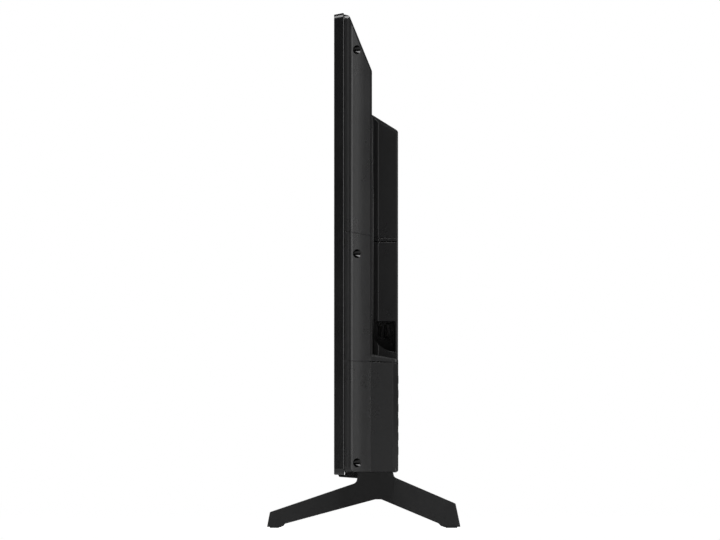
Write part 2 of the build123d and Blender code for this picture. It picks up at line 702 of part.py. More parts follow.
def led_bars():
    """Light bars on the back of the pan."""
    depths = (LED_BAR_FRONT, PAN_BACK_DEPTH - PAN_THICK)
    return together([block((-300.0, 300.0), depths, around(z, 6.0)) for z in LED_ROWS_Z])


def led_lenses():
    """Domed lenses that spread the light of each chip."""
    lenses = []
    for x, z in led_places():
        place = Pos(x, LED_BAR_FRONT, z) * Rot(90, 0, 0)
        outline_face = RegularPolygon(LENS_RADIUS, SMALL_SIDES)
        base = extrude(outline_face, amount=LENS_RIM)
        crown = extrude(Pos(0, 0, LENS_RIM) * outline_face, amount=LENS_CROWN, taper=LENS_SLOPE)
        lenses.append(place * (base + crown))
    return together(lenses)


def main_board():
    """L-shaped main board with its chips and connectors."""
    body = block((62.0, 178.0), (MAIN_BOARD_FRONT, MAIN_BOARD_BACK), (215.0, 335.0))
    body = body + block((130.0, 175.6), (MAIN_BOARD_FRONT, MAIN_BOARD_BACK), (167.0, 215.0))
    parts = [
        block((132.0, 148.0), (MAIN_BOARD_BACK, MAIN_BOARD_BACK + 1.2), (250.0, 264.0)),
        block((152.0, 164.0), (MAIN_BOARD_BACK, MAIN_BOARD_BACK + 1.2), (250.0, 262.0)),
        block((70.0, 96.0), (MAIN_BOARD_BACK, MAIN_BOARD_BACK + 3.0), (300.0, 306.0)),
        block((63.0, 69.0), (MAIN_BOARD_BACK, MAIN_BOARD_BACK + 2.2), (260.0, 284.0)),
        block((134.0, 150.0), (MAIN_BOARD_BACK, MAIN_BOARD_BACK + 5.0), (170.0, 175.0)),
        block((104.0, 128.0), (MAIN_BOARD_BACK, MAIN_BOARD_BACK + 5.5), (222.0, 246.0)),
        rod_y(156.0, 300.0, 4.0, (MAIN_BOARD_BACK, MAIN_BOARD_BACK + 9.0)),
        rod_y(167.0, 300.0, 4.0, (MAIN_BOARD_BACK, MAIN_BOARD_BACK + 9.0)),
    ]
    body = body + together(parts)
    for x, z, back in board_posts():
        if x > 60.0:
            body = body - rod_y(x, z, SCREW_HOLE_RADIUS, (30.0, 60.0))
    return body


def main_heatsink():
    """Finned heat sink on the main processor."""
    base = block((84.0, 116.0), (MAIN_BOARD_BACK + 1.5, MAIN_BOARD_BACK + 4.0), (255.0, 290.0))
    chip = block((90.0, 110.0), (MAIN_BOARD_BACK, MAIN_BOARD_BACK + 1.5), (262.0, 282.0))
    fin_depths = (MAIN_BOARD_BACK + 4.0, MAIN_BOARD_BACK + 13.0)
    fins = [block(around(84.9 + index * 5.0, 0.9), fin_depths, (255.0, 290.0)) for index in range(7)]
    return base + chip + together(fins)


def power_board():
    """Power supply board."""
    back = POWER_BOARD_FRONT + BOARD_THICK
    body = block((-178.0, -62.0), (POWER_BOARD_FRONT, back), (232.0, 346.0))
    parts = [
        block((-150.0, -134.0), (back, back + 7.0), (238.0, 250.0)),
        block((-76.0, -64.0), (back, back + 6.0), (294.0, 306.0)),
        block((-90.0, -70.0), (back, back + 5.0), (250.0, 256.0)),
        rod_y(-90.0, 322.0, 5.0, (back, back + 16.0)),
        rod_y(-104.0, 322.0, 5.0, (back, back + 16.0)),
    ]
    body = body + together(parts)
    for x, z, post_back in board_posts():
        if x < -60.0:
            body = body - rod_y(x, z, SCREW_HOLE_RADIUS, (30.0, 60.0))
    return body


def power_transformer():
    """Wound transformer of the power supply."""
    back = POWER_BOARD_FRONT + BOARD_THICK
    core = block((-128.0, -96.0), (back + 3.0, back + 14.0), (268.0, 296.0))
    bobbin = block((-132.0, -92.0), (back, back + 3.0), (272.0, 292.0))
    return core + bobbin


def power_capacitors():
    """Large smoothing capacitors, lying on the board."""
    back = POWER_BOARD_FRONT + BOARD_THICK
    axis_depth = back + 8.2
    cans = [
        rod_z(x, axis_depth, 8.0, (266.0, 298.0), HEAD_SIDES)
        for x in (-146.0, -164.0)
    ]
    return together(cans)


def power_heatsink():
    """Bent aluminium heat sink for the switching transistors."""
    back = POWER_BOARD_FRONT + BOARD_THICK
    wall = block((-168.0, -118.0), (back, back + 16.0), (314.0, 316.0))
    foot = block((-168.0, -118.0), (back, back + 1.6), (308.0, 314.0))
    return wall + foot


def timing_board():
    """Small board that drives the panel."""
    back = TIMING_BOARD_FRONT + 1.2
    body = block((-62.0, 62.0), (TIMING_BOARD_FRONT, back), (104.0, 150.0))
    chip = block((-8.0, 8.0), (back, back + 1.4), (120.0, 134.0))
    for x in (-56.0, 56.0):
        body = body - rod_y(x, 124.0, SCREW_HOLE_RADIUS, (30.0, 40.0))
    return body + chip


def source_board():
    """Long narrow board under the panel."""
    return block((-150.0, 150.0), (2.9, 4.1), (57.0, 70.0))


def source_films():
    """Flexible driver films between the panel's edge and the source board."""
    middles = (-125.0, -75.0, -25.0, 25.0, 75.0, 125.0)
    return together([block(around(x, 18.0), (2.5, 2.9), (60.0, 76.0)) for x in middles])


def panel_ribbon():
    """Flat cable from the main board to the timing board."""
    across = block((15.0, 62.5), (40.9, 41.2), (264.0, 280.0))
    plug = block((62.5, 63.0), (40.9, 41.2), (264.0, 280.0))
    drop = strip([(41.2, 280.0), (41.2, 164.0), (33.6, 151.0), (33.6, 144.0)], 0.3, (15.0, 31.0))
    return across + plug + drop


def source_ribbons():
    """Two flat cables round the pan's lower edge to the source board."""
    path = [(33.6, 112.0), (33.6, 90.0), (13.0, 66.0), (4.5, 66.0), (4.5, 60.0)]
    return together([strip(path, 0.3, around(x, 11.0)) for x in (-40.0, 40.0)])


def power_harness():
    """Cable between the power board and the main board."""
    route = [(-64.0, 41.5, 300.0), (-46.0, 41.5, 300.0), (-14.0, 46.0, 292.0), (20.0, 46.0, 292.0),
             (48.0, 41.6, 303.0), (70.0, 41.6, 303.0)]
    return cable(route, 2.0)


def speaker_harness():
    """Cables from the main board down to the two speakers."""
    right = cable(
        [(144.0, 42.2, 170.0), (144.0, 42.2, 152.0), (150.0, 44.0, 132.0), (150.0, 44.0, 112.0)],
        1.2,
    )
    left = cable(
        [(138.0, 42.2, 170.0), (138.0, 42.2, 158.0), (110.0, 40.0, 149.0), (-120.0, 41.0, 147.0),
         (-150.0, 44.0, 132.0), (-150.0, 44.0, 112.0)],
        1.2,
    )
    return together([right, left])


def signal_harness():
    """Cables from the main board to the key board, and from the timing board to the sensor."""
    keys = cable(
        [(148.0, 42.2, 170.0), (148.0, 42.2, 157.0), (200.0, 44.0, 150.0), (270.0, 48.0, 150.0),
         (292.0, 52.8, 146.0), (309.0, 52.8, 146.0)],
        1.0,
    )
    sensor = cable([(5.0, 32.6, 104.0), (5.0, 32.6, 86.0), (5.0, 17.0, 70.0), (5.0, 17.0, 59.4)], 1.0)
    return together([keys, sensor])


def inlet_harness():
    """Cable from the mains inlet up to the power board."""
    return cable([(-142.5, 48.5, 226.0), (-142.5, 48.5, 232.0), (-142.0, 48.0, 240.0)], 2.2)


def hdmi_sockets():
    """Two metal-shelled sockets, one in each signal bay."""
    side_shell = block((166.0, 178.6), (41.0, 45.6), (181.9, 196.9))
    side_shell = side_shell - block((169.0, 180.0), (41.4, 45.2), (182.3, 196.5))
    side_tongue = block((169.0, 177.4), (43.0, 43.8), (184.5, 194.3))
    rear_shell = block((72.5, 87.5), (40.0, 45.3), (210.6, 224.0))
    rear_shell = rear_shell - block((72.9, 87.1), (40.4, 44.9), (209.0, 221.0))
    rear_tongue = block((75.0, 85.0), (42.2, 43.1), (212.0, 221.0))
    return together([side_shell, side_tongue, rear_shell, rear_tongue])


def usb_socket():
    """Metal-shelled socket beside the first one in the side bay."""
    shell = block((166.0, 178.6), (47.9, 54.3), (182.2, 196.6))
    shell = shell - block((168.0, 180.0), (48.3, 53.9), (182.6, 196.2))
    tongue = block((168.0, 177.0), (48.9, 50.9), (183.6, 195.2))
    base = block((166.0, 175.6), (45.6, 47.9), (183.0, 195.0))
    return shell + tongue + base


def antenna_socket():
    """Round aerial socket that points down."""
    body = rod_z(*AERIAL_PLACE, 5.3, (204.0, 221.9), WELL_SIDES)
    body = body - rod_z(*AERIAL_PLACE, 3.9, (200.0, 214.0), WELL_SIDES)
    return body + rod_z(*AERIAL_PLACE, 1.2, (206.0, 214.0))


def audio_jack():
    """Small round audio socket that points down."""
    body = block((95.0, 103.4), (39.8, 46.6), (214.2, 226.0))
    body = body + rod_z(*AUDIO_PLACE, 3.1, (210.8, 214.2), HEAD_SIDES)
    return body - rod_z(*AUDIO_PLACE, 1.8, (205.0, 222.0), HEAD_SIDES)


def power_inlet():
    """Two-pole mains inlet that points down, on the plate that is the roof of its bay."""
    plate_x = (MAINS_BAY_X[0] - BAY_WALL, MAINS_BAY_X[1] + BAY_WALL)
    plate_y = (BAY_FRONT - BAY_WALL, BACK_DEPTH - WALL - INLET_PLATE_GAP)
    plate_z = (MAINS_BAY_Z[1], MAINS_BAY_Z[1] + BAY_WALL)
    body = block((-153.0, -132.0), (43.0, 54.0), (206.0, 226.0)) + block(plate_x, plate_y, plate_z)
    mouth = racetrack(*INLET_PLACE, 14.4, 8.0, (200.0, 218.0))
    return body - mouth


def inlet_pins():
    """The two contact pins of the mains inlet."""
    x, y = INLET_PLACE
    return together([rod_z(x + side * 4.0, y, 1.2, (208.0, 218.0)) for side in (-1, 1)])


def sensor_window():
    """Smoked window under the bezel, with a light guide up to the sensor board."""
    corners = [
        (3.6, 51.4),
        (4.6, 49.2, 0.8),
        (22.1, 47.9, 0.8),
        (22.1, 53.7),
        (10.1, 53.7),
        (10.1, 51.4),
    ]
    body = extrude(Plane.YZ * profile(corners), amount=22.0, both=True)
    return body + block(around(0.0, LIGHT_GUIDE_HALF), LIGHT_GUIDE_Y, (53.0, 57.6))


def sensor_board():
    """Small board with the remote sensor and the indicator."""
    body = block((-15.0, 15.0), (11.0, 22.0), (58.2, 59.4))
    return body + block((-3.0, 3.0), (13.0, 18.0), (57.7, 58.2))


def key_board():
    """Narrow board that carries the key switches."""
    body = block(around(KEY_X, 9.0), (KEY_BOARD_FRONT, KEY_BOARD_FRONT + BOARD_THICK), (61.0, 154.5))
    for z in KEY_SCREW_Z:
        body = body - rod_y(KEY_X, z, SCREW_HOLE_RADIUS, (50.0, 58.0))
    return body


def key_switches():
    """Switch under each key, with the well that its plunger moves in."""
    back = KEY_BOARD_FRONT + BOARD_THICK
    switches = []
    for index in range(len(KEY_NAMES)):
        z = KEY_FIRST_Z + index * KEY_PITCH
        body = block(around(KEY_X, 3.1), (back, back + 3.2), around(z, 3.1))
        well_bottom = KEY_STEM_TIP - KEY_TRAVEL - 0.2
        switches.append(body - rod_y(KEY_X, z, KEY_STEM_RADIUS + 0.3, (well_bottom, back + 5.0)))
    return together(switches)


def key_button(index):
    """Key cap with its retaining flange and the stem that presses the switch."""
    z = KEY_FIRST_Z + index * KEY_PITCH
    inner = BACK_DEPTH - WALL
    cap = block(around(KEY_X, KEY_SIZE / 2), (inner - 0.3, BACK_DEPTH + 0.3), around(z, KEY_SIZE / 2))
    front_edges = cap.edges().filter_by_position(Axis.Y, BACK_DEPTH + 0.2, BACK_DEPTH + 0.4)
    cap = chamfer(front_edges, 0.6)
    flange_half = KEY_SIZE / 2 + 1.2
    flange = block(around(KEY_X, flange_half), (inner - 1.1, inner - 0.1), around(z, flange_half))
    stem = rod_y(KEY_X, z, KEY_STEM_RADIUS, (KEY_STEM_TIP, inner - 0.5))
    return cap + flange + stem


def speaker_box(side):
    """Closed plastic speaker box with an ear at each end."""
    x = side * SPEAKER_X
    low, high = SPEAKER_BOX_Z
    half = SPEAKER_LENGTH / 2
    body = block(around(x, half), around(SPEAKER_Y, SPEAKER_BOX_HALF_DEPTH), (low, high))
    inner_depths = around(SPEAKER_Y, SPEAKER_BOX_HALF_DEPTH - 2.0)
    body = body - block(around(x, half - 2.0), inner_depths, (low + 2.0, high - 2.0))
    body = body - racetrack(x, SPEAKER_Y, 84.0, 17.0, (low - 1.0, low + 3.0))
    for end in (-1, 1):
        ear_x = x + end * (half + EAR_REACH)
        ear = block(around(x + end * (half + 5.0), 6.0), around(SPEAKER_Y, 6.0), EAR_Z)
        body = body + (ear - block(around(x, half - 0.5), (0.0, 100.0), (0.0, 200.0)))
        body = body - rod_z(ear_x, SPEAKER_Y, 3.0, (60.0, 75.0))
    return body


def speaker_baskets():
    """Steel frames of the two drivers."""
    low = SPEAKER_BOX_Z[0]
    ring = racetrack(SPEAKER_X, SPEAKER_Y, 94.0, 22.0, (low - 2.0, low))
    ring = ring - racetrack(SPEAKER_X, SPEAKER_Y, 84.0, 17.0, (low - 3.0, low + 1.0))
    tub = racetrack(SPEAKER_X, SPEAKER_Y, 83.4, 16.4, (low - 0.6, low + 6.0))
    tub = tub - racetrack(SPEAKER_X, SPEAKER_Y, 81.0, 14.2, (low - 2.0, low + 5.0))
    tub = tub - rod_z(SPEAKER_X, SPEAKER_Y, COIL_RADIUS + 0.8, (low, low + 10.0), HEAD_SIDES)
    collar = racetrack(SPEAKER_X, SPEAKER_Y, 84.0, 17.0, (low - 0.6, low))
    collar = collar - racetrack(SPEAKER_X, SPEAKER_Y, 81.0, 14.2, (low - 2.0, low + 1.0))
    return both_sides(together([ring, tub, collar]))


def speaker_magnets():
    """Round magnet of each driver, with a ring gap for the voice coil."""
    low = SPEAKER_BOX_Z[0] + 6.0
    magnet = rod_z(SPEAKER_X, SPEAKER_Y, 9.4, (low, low + 10.0), HEAD_SIDES)
    gap_depths = (low - 1.0, COIL_TOP_Z + 2 * CONE_TRAVEL)
    gap = rod_z(SPEAKER_X, SPEAKER_Y, COIL_RADIUS + 0.8, gap_depths, HEAD_SIDES)
    pole = rod_z(SPEAKER_X, SPEAKER_Y, COIL_RADIUS - 1.6, (low - 2.0, low + 8.0), HEAD_SIDES)
    return both_sides((magnet - gap) + pole)


def speaker_surrounds():
    """Rubber edge round each cone."""
    low = SPEAKER_BOX_Z[0]
    ring = racetrack(SPEAKER_X, SPEAKER_Y, 83.8, 16.8, (low - 1.8, low - 0.8))
    return both_sides(ring - racetrack(SPEAKER_X, SPEAKER_Y, 79.4, 12.4, (low - 3.0, low)))


def speaker_cone(side):
    """Stiff cone with a dust cap and the voice coil behind it."""
    x = side * SPEAKER_X
    plate = racetrack(x, SPEAKER_Y, 78.8, 11.8, (CONE_Z, CONE_Z + CONE_THICK))
    dish = racetrack(x, SPEAKER_Y, 70.0, 8.0, (CONE_Z - 0.5, CONE_Z + 0.4))
    plate = plate - dish
    coil = rod_z(x, SPEAKER_Y, COIL_RADIUS, (CONE_Z + 0.3, COIL_TOP_Z), HEAD_SIDES)
    coil = coil - rod_z(x, SPEAKER_Y, COIL_RADIUS - 0.8, (CONE_Z, COIL_TOP_Z + 1.0), HEAD_SIDES)
    cap = rod_z(x, SPEAKER_Y, COIL_RADIUS, (CONE_Z + 0.4, CONE_Z + 1.0), HEAD_SIDES)
    return together([plate, coil, cap])


def speaker_places():
    """Centres of the speakers' ears."""
    reach = SPEAKER_LENGTH / 2 + EAR_REACH
    return [side * SPEAKER_X + end * reach for side in (-1, 1) for end in (-1, 1)]


def speaker_grommets():
    """Rubber grommets in the speakers' ears."""
    rings = []
    for x in speaker_places():
        ring = rod_z(x, SPEAKER_Y, 2.9, EAR_Z) + rod_z(x, SPEAKER_Y, 4.2, (EAR_Z[1], GROMMET_TOP_Z))
        ring = ring + rod_z(x, SPEAKER_Y, 4.2, (SPEAKER_BOX_Z[0], EAR_Z[0]))
        rings.append(ring - rod_z(x, SPEAKER_Y, SCREW_HOLE_RADIUS, (60.0, 75.0)))
    return together(rings)


def speaker_screws():
    """Screws that hold the speakers to the cover."""
    screws = []
    for x in speaker_places():
        head_top = GROMMET_TOP_Z + SCREW_HEAD_HEIGHT
        head = rod_z(x, SPEAKER_Y, SCREW_HEAD_RADIUS, (GROMMET_TOP_Z, head_top))
        screws.append(head + rod_z(x, SPEAKER_Y, SCREW_RADIUS, (57.6, GROMMET_TOP_Z)))
    return together(screws)


def foot_side():
    """Outline of a foot from the side: neck, two splayed legs and their tips."""
    return profile([
        (22.2, COVER_BOTTOM_Z),
        (21.8, 43.6, 5.0),
        (-61.6, 15.3, 1.6),
        (-FRONT_REACH, FOOT_UNDERSIDE_Z),
        (-50.5, FOOT_UNDERSIDE_Z),
        (-48.7, 3.6, 2.0),
        (39.4, 27.4, 4.0),
        (45.7, 27.4, 4.0),
        (101.7, 3.9, 2.0),
        (104.5, FOOT_UNDERSIDE_Z),
        (REAR_REACH, FOOT_UNDERSIDE_Z),
        (116.4, 23.5, 1.6),
        (57.6, 48.8, 4.0),
        (56.4, COVER_BOTTOM_Z),
    ])


def foot_plan():
    """Outline of a foot from above: widest at the neck, slim at the tips."""
    return profile([
        (-FOOT_HALF_TIP, -FRONT_REACH, 3.0),
        (FOOT_HALF_TIP, -FRONT_REACH, 3.0),
        (FOOT_HALF_NECK, 21.0, 20.0),
        (FOOT_HALF_NECK, 58.0, 20.0),
        (FOOT_HALF_TIP, REAR_REACH, 3.0),
        (-FOOT_HALF_TIP, REAR_REACH, 3.0),
        (-FOOT_HALF_NECK, 58.0, 20.0),
        (-FOOT_HALF_NECK, 21.0, 20.0),
    ])


def pad_ranges():
    """Depths that the two pads of a foot cover."""
    return ((-FRONT_REACH + 2.6, -53.0), (107.0, REAR_REACH - 3.0))


def foot(side):
    """One foot: legs, neck, tenon into the cover and its screw holes."""
    run = extrude(Plane.YZ * foot_side(), amount=FOOT_HALF_NECK + 2.0, both=True)
    rise = extrude(foot_plan(), amount=TENON_TOP_Z)
    body = run & rise
    tenon = block(around(0.0, TENON_HALF), TENON_Y, (COVER_BOTTOM_Z - 1.0, TENON_TOP_Z))
    body = body + tenon
    for y in FOOT_SCREW_Y:
        body = body - rod_z(0.0, y, FOOT_SCREW_HEAD_RADIUS + 0.5, (0.0, FOOT_SCREW_SEAT_Z))
        body = body - rod_z(0.0, y, FOOT_SCREW_RADIUS + 0.3, (0.0, TENON_TOP_Z + 1.0))
    for depths in pad_ranges():
        pocket = block(around(0.0, PAD_HALF_WIDTH), depths, (-1.0, PAD_THICK))
        body = body - pocket
    return Pos(side * FOOT_X, 0, 0) * body


def foot_pads():
    """Rubber pads let into the undersides of the foot tips."""
    pads = []
    for side in (-1, 1):
        for depths in pad_ranges():
            inner = (depths[0] + 0.1, depths[1] - 0.1)
            pads.append(block(around(side * FOOT_X, PAD_HALF_WIDTH - 0.1), inner, (0.0, PAD_THICK)))
    return together(pads)


def foot_screws():
    """Machine screws up through each neck into its bracket."""
    screws = []
    for side in (-1, 1):
        for y in FOOT_SCREW_Y:
            head_z = (FOOT_SCREW_SEAT_Z - 2.8, FOOT_SCREW_SEAT_Z)
            head = rod_z(side * FOOT_X, y, FOOT_SCREW_HEAD_RADIUS, head_z)
            shank = rod_z(side * FOOT_X, y, FOOT_SCREW_RADIUS, (FOOT_SCREW_SEAT_Z, 74.0))
            screws.append(head + shank)
    return together(screws)


def foot_brackets():
    """Steel brackets that take the feet's load up to the pan."""
    shelf = block(around(FOOT_X, 15.0), (PAN_BACK_DEPTH, 55.0), (TENON_TOP_Z, TENON_TOP_Z + 2.0))
    upright = block(around(FOOT_X, 15.0), (PAN_BACK_DEPTH, PAN_BACK_DEPTH + 2.0), (TENON_TOP_Z, 134.0))
    web = extrude(
        Plane.YZ.offset(FOOT_X - 15.0)
        * profile([(PAN_BACK_DEPTH, TENON_TOP_Z), (55.0, TENON_TOP_Z), (PAN_BACK_DEPTH, 110.0)]),
        amount=2.0,
    )
    bracket = together([shelf, upright, web, Pos(28.0, 0, 0) * web])
    for y in FOOT_SCREW_Y:
        bracket = bracket - rod_z(FOOT_X, y, FOOT_SCREW_RADIUS + 0.1, (60.0, 80.0))
    for x in (FOOT_X - 8.0, FOOT_X + 8.0):
        bracket = bracket - rod_y(x, 125.0, SCREW_HOLE_RADIUS, (20.0, 40.0))
    return both_sides(bracket)


def bracket_screws():
    """Screws that hold the brackets to the pan."""
    screws = []
    for x in (FOOT_X - 8.0, FOOT_X + 8.0):
        head_back = PAN_BACK_DEPTH + 2.0 + SCREW_HEAD_HEIGHT
        head = rod_y(x, 125.0, SCREW_HEAD_RADIUS, (PAN_BACK_DEPTH + 2.0, head_back))
        screws.append(head + rod_y(x, 125.0, SCREW_RADIUS, (PAN_BACK_DEPTH, PAN_BACK_DEPTH + 2.0)))
    return both_sides(together(screws))


def wall_mount_inserts():
    """Threaded brass inserts of the wall mount."""
    inserts = []
    for x, z in wall_mount_places():
        sleeve = rod_y(x, z, INSERT_RADIUS, (BACK_DEPTH - INSERT_LENGTH, BACK_DEPTH - 0.2))
        bore = rod_y(x, z, INSERT_BORE, (BACK_DEPTH - INSERT_LENGTH - 1.0, 70.0), 0)
        inserts.append(sleeve - bore)
    return together(inserts)


def screw_along_y(x, z, seat, tip, head_sides=HEAD_SIDES):
    """Screw that points forward, with its head behind the seat."""
    head = rod_y(x, z, SCREW_HEAD_RADIUS, (seat, seat + SCREW_HEAD_HEIGHT), head_sides)
    return head + rod_y(x, z, SCREW_RADIUS, (tip, seat))


def side_screws():
    """Six screws in the side wells, into the bezel."""
    return together([
        screw_along_y(side * SIDE_SCREW_X, z, SIDE_SEAT_DEPTH, 4.0)
        for side in (-1, 1)
        for z in SIDE_SCREW_Z
    ])


def rear_screws():
    """Screws in the back wells, into the pan."""
    return together([screw_along_y(x, z, REAR_SEAT_DEPTH, PAN_BACK_DEPTH) for x, z in REAR_SCREWS])


def board_screws():
    """Screws that hold the boards to the pan's posts and the key board to the cover."""
    screws = []
    for x, z, back in board_posts():
        thick = 1.2 if back == TIMING_BOARD_FRONT else BOARD_THICK
        screws.append(screw_along_y(x, z, back + thick, PAN_BACK_DEPTH, SMALL_SIDES))
    for z in KEY_SCREW_Z:
        head = rod_y(KEY_X, z, SCREW_HEAD_RADIUS, (KEY_BOARD_FRONT - SCREW_HEAD_HEIGHT, KEY_BOARD_FRONT))
        screws.append(head + rod_y(KEY_X, z, SCREW_RADIUS, (KEY_BOARD_FRONT, 57.6)))
    return together(screws)


def save(name, shape):
    """Write one piece, moved so that the origin lies under the middle of the set."""
    export_step(Pos(0, SCREEN_Y, 0) * shape, f"parts/{name}.step")


os.makedirs("parts", exist_ok=True)

save("rear_cover", rear_cover())
save("front_bezel", front_bezel())
save("screen_panel", screen_panel())
save("middle_frame", middle_frame())
save("optical_films", optical_films())
save("diffuser_plate", diffuser_plate())
save("back_chassis", back_chassis())
save("reflector_sheet", reflector_sheet())
save("led_bars", led_bars())
save("led_lenses", led_lenses())
save("main_board", main_board())
save("main_heatsink", main_heatsink())
save("power_board", power_board())
save("power_transformer", power_transformer())
save("power_capacitors", power_capacitors())
save("power_heatsink", power_heatsink())
save("timing_board", timing_board())
save("source_board", source_board())
save("source_films", source_films())
save("panel_ribbon", panel_ribbon())
save("source_ribbons", source_ribbons())
save("power_harness", power_harness())
save("speaker_harness", speaker_harness())
save("signal_harness", signal_harness())
save("inlet_harness", inlet_harness())
save("hdmi_sockets", hdmi_sockets())
save("usb_socket", usb_socket())
save("antenna_socket", antenna_socket())
save("audio_jack", audio_jack())
save("power_inlet", power_inlet())
save("inlet_pins", inlet_pins())
save("sensor_window", sensor_window())
save("sensor_board", sensor_board())
save("key_board", key_board())
save("key_switches", key_switches())
for place, name in enumerate(KEY_NAMES):
    save(f"button_{name}", key_button(place))
save("speaker_box_left", speaker_box(-1))
save("speaker_box_right", speaker_box(1))
save("speaker_cone_left", speaker_cone(-1))
save("speaker_cone_right", speaker_cone(1))
save("speaker_baskets", speaker_baskets())
save("speaker_magnets", speaker_magnets())
save("speaker_surrounds", speaker_surrounds())
save("speaker_grommets", speaker_grommets())
save("speaker_screws", speaker_screws())
save("foot_left", foot(-1))
save("foot_right", foot(1))
save("foot_pads", foot_pads())
save("foot_screws", foot_screws())
save("foot_brackets", foot_brackets())
save("bracket_screws", bracket_screws())
save("wall_mount_inserts", wall_mount_inserts())
save("side_screws", side_screws())
save("rear_screws", rear_screws())
save("board_screws", board_screws())
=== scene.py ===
import json
import math
import bmesh
import bpy
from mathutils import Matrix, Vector


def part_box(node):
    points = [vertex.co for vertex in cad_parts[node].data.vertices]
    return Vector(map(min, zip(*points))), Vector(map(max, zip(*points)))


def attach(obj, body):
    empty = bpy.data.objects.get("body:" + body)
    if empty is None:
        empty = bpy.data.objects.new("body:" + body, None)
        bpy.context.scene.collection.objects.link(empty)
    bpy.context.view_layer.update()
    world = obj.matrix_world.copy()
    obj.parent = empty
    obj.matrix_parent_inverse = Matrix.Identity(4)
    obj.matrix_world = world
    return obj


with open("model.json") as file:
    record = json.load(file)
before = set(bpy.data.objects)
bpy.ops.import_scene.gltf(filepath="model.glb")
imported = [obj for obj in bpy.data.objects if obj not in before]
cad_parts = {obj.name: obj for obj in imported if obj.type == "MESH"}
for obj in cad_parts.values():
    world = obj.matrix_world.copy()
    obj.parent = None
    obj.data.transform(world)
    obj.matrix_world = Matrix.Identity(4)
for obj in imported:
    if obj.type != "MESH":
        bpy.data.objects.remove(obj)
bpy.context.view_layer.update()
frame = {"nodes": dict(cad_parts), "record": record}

# The frame is in metres. The screen faces -Y and the back faces +Y. The small forms below are in
# millimetres, across, back and up, with depth counted back from the bezel's front.
MM = 0.001
ROOT = "television"
BEZEL_FRONT = -28.4

# Screws: the middle of each head
SIDE_SCREWS = [(x, 14.4, z) for x in (-357.0, 357.0) for z in (62.4, 262.2, 457.0)]
REAR_SCREWS = [
    (-250.0, 34.0, 140.0), (250.0, 34.0, 140.0),
    (-250.0, 34.0, 425.0), (250.0, 34.0, 425.0),
    (0.0, 34.0, 425.0),
]
# Flat crosses of painted shade on the screw heads, in place of cross recesses: reach, half line and rise
RECESS_REACH = 1.7
RECESS_HALF_LINE = 0.45
RECESS_RISE = 0.04

# Keys, from the bottom up, and the marks printed on them
KEY_X = 318.0
KEY_FACE = 61.7
KEY_FIRST_Z = 74.0
KEY_PITCH = 13.6
MARK_RISE = 0.03
MARK_REACH = 1.7
MARK_HALF_LINE = 0.3
RING_RADIUS = 1.5
RING_LINE = 0.45
RING_STEPS = 16
POWER_GAP = 28.0
SOURCE_GAP = 1.0
POWER_BAR_HALF_LINE = 0.25
POWER_BAR_SPAN = (0.6, 2.4)
ARROW_FOOT = 1.2
ARROW_TIP = 1.5

# Mouldings in the sockets: ranges across, back and up, then the rounding of the edges. They are two
# walls and the tongue of the side picture socket, and the tongues of the side data socket and the rear
# picture socket.
SOCKET_MOULDINGS = [
    ((169.1, 178.0), (41.45, 41.75), (182.4, 196.4), 0.05),
    ((169.1, 178.0), (44.85, 45.15), (182.4, 196.4), 0.05),
    ((169.0, 177.6), (42.85, 43.95), (184.3, 194.5), 0.2),
    ((168.0, 177.2), (48.75, 51.05), (183.4, 195.4), 0.2),
    ((74.8, 85.2), (42.05, 43.25), (211.8, 221.0), 0.2),
]
# Rows of contacts on the tongues: ranges of the first contact, the axis that the row follows, pitch and
# count
ACROSS, UP = 0, 2
SOCKET_CONTACTS = [
    (((170.5, 177.3), (43.95, 44.02), (185.2, 185.6)), UP, 1.05, 9),
    (((75.6, 76.0), (43.25, 43.32), (212.2, 220.0)), ACROSS, 1.05, 9),
    (((169.5, 176.8), (51.05, 51.15), (184.5, 185.8)), UP, 2.6, 4),
]

# Wells of the side screws, lined with painted shade, and the cover's slope that cuts them off, with its
# foot as (across, back)
WELL_RADIUS = 4.12
WELL_FLOOR = 12.5
WELL_STEPS = 28
WELL_MARGIN = 0.25
SLOPE_FOOT = (364.6, 15.2)
SLOPE_RISE = 21.1 / 24.0

# Corners of the lower bulge: middle and radius of the solid's rounding, the turns in degrees where the
# crisp corner still follows it, the turns that it cuts short, its rows as (height, share of crispness)
# and the share of the radius to which the faded ends sink
BULGE_CENTRE = (331.51, 54.4)
BULGE_RADIUS = 7.04
BULGE_TURNS = (10.0, 13.0, 16.0, 19.0, 22.0)
BULGE_CUT_TURNS = (60.0, 90.0)
BULGE_ROWS = ((56.5, 0.0), (59.0, 1.0), (108.0, 1.0), (156.8, 1.0), (159.2, 0.0))
BULGE_SINK = 0.99
BACK_PLANE = 61.44

# Beads along the feet of the central bump: an oval's middle and reach as (across, back), the turns in
# degrees that it covers, and the heights of its rows
BEAD_CENTRE = (222.6, 36.1)
BEAD_REACH = (1.4, 2.0)
BEAD_FIRST_TURN = -10.0
BEAD_LAST_TURN = 100.0
BEAD_STEPS = 8
BEAD_ROWS = (166.0, 280.0, 395.5)

# Foam seal in the seam behind the bezel; its near-black colour is painted shade that darkens the seam
SEAL_DEPTHS = (9.42, 9.88)
SEAL_TOP_X = (-358.0, 358.0)
SEAL_TOP_Z = (488.75, 490.6)
SEAL_SIDE_X = (362.65, 363.2)
SEAL_SIDE_Z = (60.0, 486.0)
SEAL_ROUNDING = 0.1

# Screen: half the panel's width and the black border beside the picture, in metres
SCREEN_HALF_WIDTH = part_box("screen_panel")[1].x
SCREEN_BORDER = 4.4 * MM

# Camera: far away with a long lens, square to the set's side. Lens and sensor are in millimetres, the
# rest in metres.
LENS = 1200.0
SENSOR_WIDTH = 36.0
PHOTO_WIDTH = 0.688
NEAR_SIDE_X = 0.35
AIM_Y = -0.0036
AIM_Z = 0.2466
CAMERA_Z = 0.027
CAMERA_REACH = LENS * PHOTO_WIDTH / SENSOR_WIDTH
CAMERA_CLIP = 100.0

